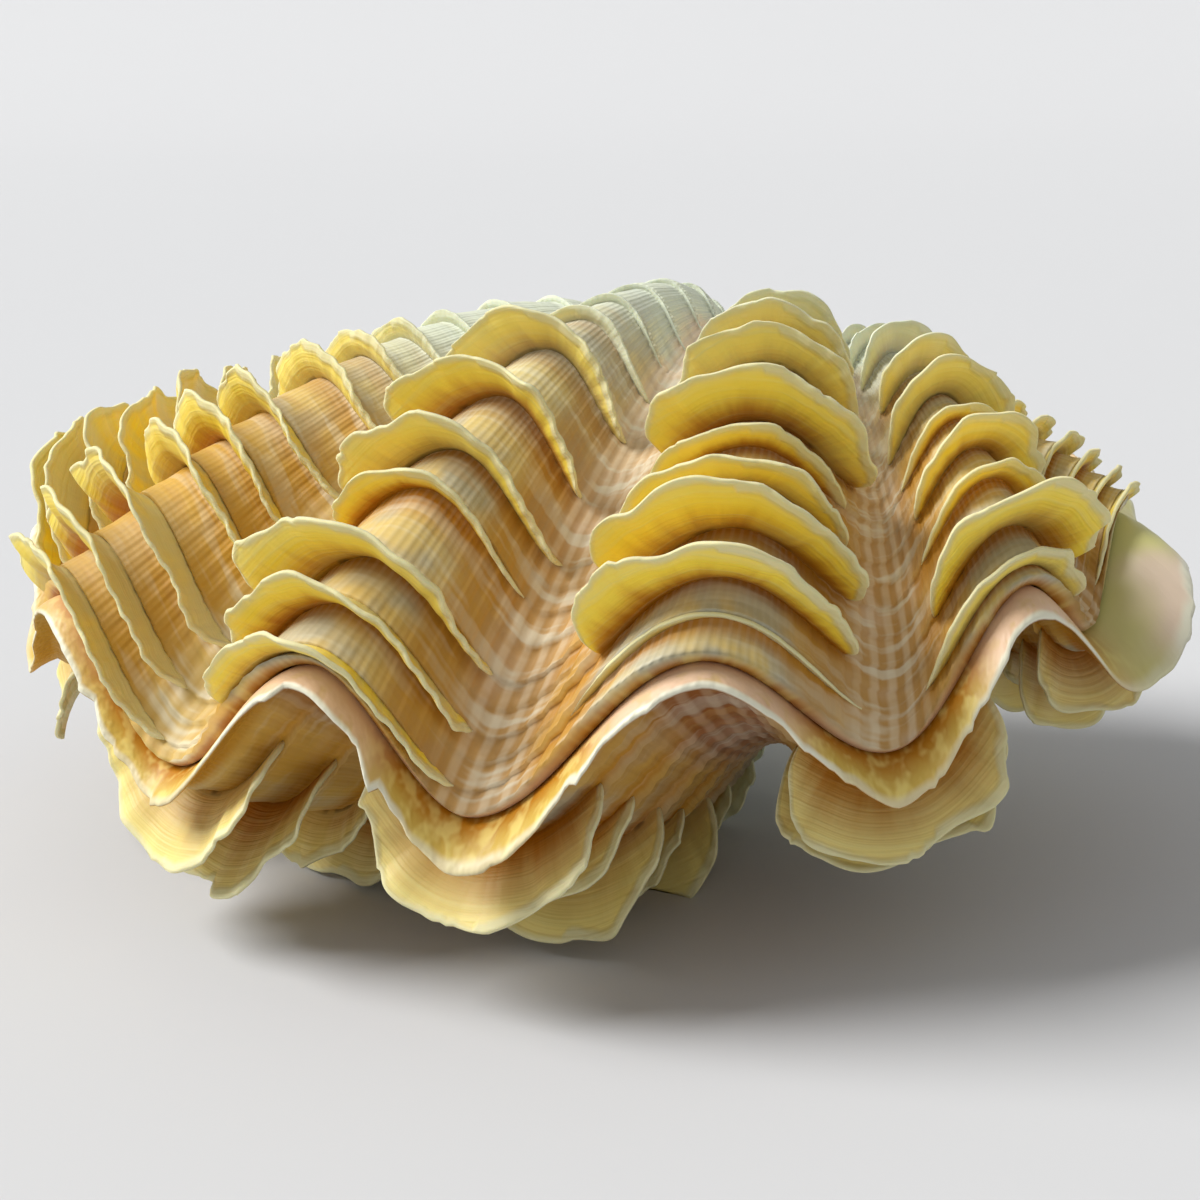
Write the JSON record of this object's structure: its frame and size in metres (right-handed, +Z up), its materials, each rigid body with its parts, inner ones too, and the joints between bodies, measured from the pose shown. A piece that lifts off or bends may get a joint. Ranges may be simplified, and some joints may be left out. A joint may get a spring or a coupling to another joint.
{
  "type": "giant clam shell",
  "caption": "Closed fluted giant clam shell in yellow and peach, with deep ribs, leaf-like scutes and a wavy margin.",
  "frame": {"origin": "on the surface the shell rests on, under the middle of its bounding box", "axes": "+Z up, -Y towards the wavy front margin, +Y towards the hinge, X along the hinge"},
  "size_m": [0.2198, 0.1552, 0.0988],
  "materials": {
    "yellow_shell": "matte",
    "peach_shell": "matte",
    "dried_ligament": "matte"
  },
  "bodies": {
    "root": {"upper_valve": "yellow_shell", "lower_valve": "peach_shell", "hinge_ligament": "dried_ligament"}
  },
  "joints": []
}
